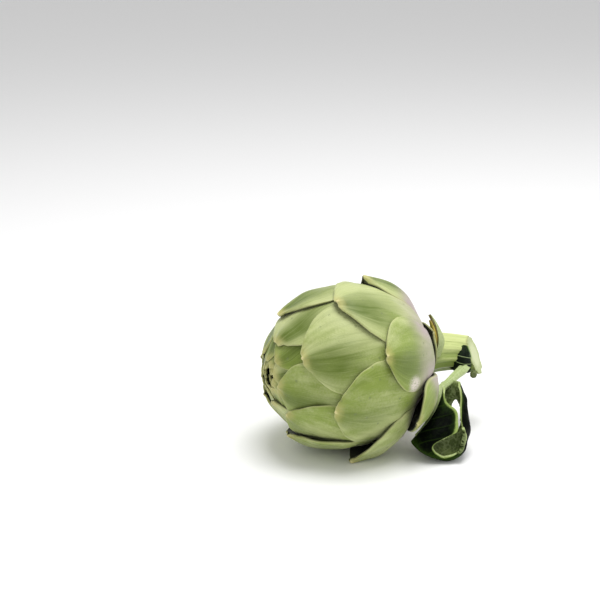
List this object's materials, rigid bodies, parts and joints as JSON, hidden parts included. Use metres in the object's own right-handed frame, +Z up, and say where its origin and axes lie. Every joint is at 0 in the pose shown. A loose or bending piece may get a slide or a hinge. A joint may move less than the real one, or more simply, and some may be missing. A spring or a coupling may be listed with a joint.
{
  "type": "globe artichoke",
  "caption": "Whole globe artichoke lying on its side: round head of overlapping green bracts, short ribbed stem cut at a slant, and one rolled dark leaf.",
  "frame": {"origin": "centre of the main flat spot under the head, on which the artichoke lies", "axes": "+Z up; the head's axis lies along X, with the apex towards -X and the cut stem towards +X; the rolled leaf is on the -Y side"},
  "size_m": [0.1403, 0.1039, 0.0976],
  "materials": {
    "bracts": "matt green bracts with fine fibres, yellow tips and faint purple at the base",
    "stem": "pale ribbed stem with a lighter cut face",
    "leaf": "dark glossy leaf, paler beneath, with a thin pale rim"
  },
  "bodies": {
    "root": {"head": "bracts", "stem": "stem", "leaf": "leaf"}
  },
  "joints": []
}
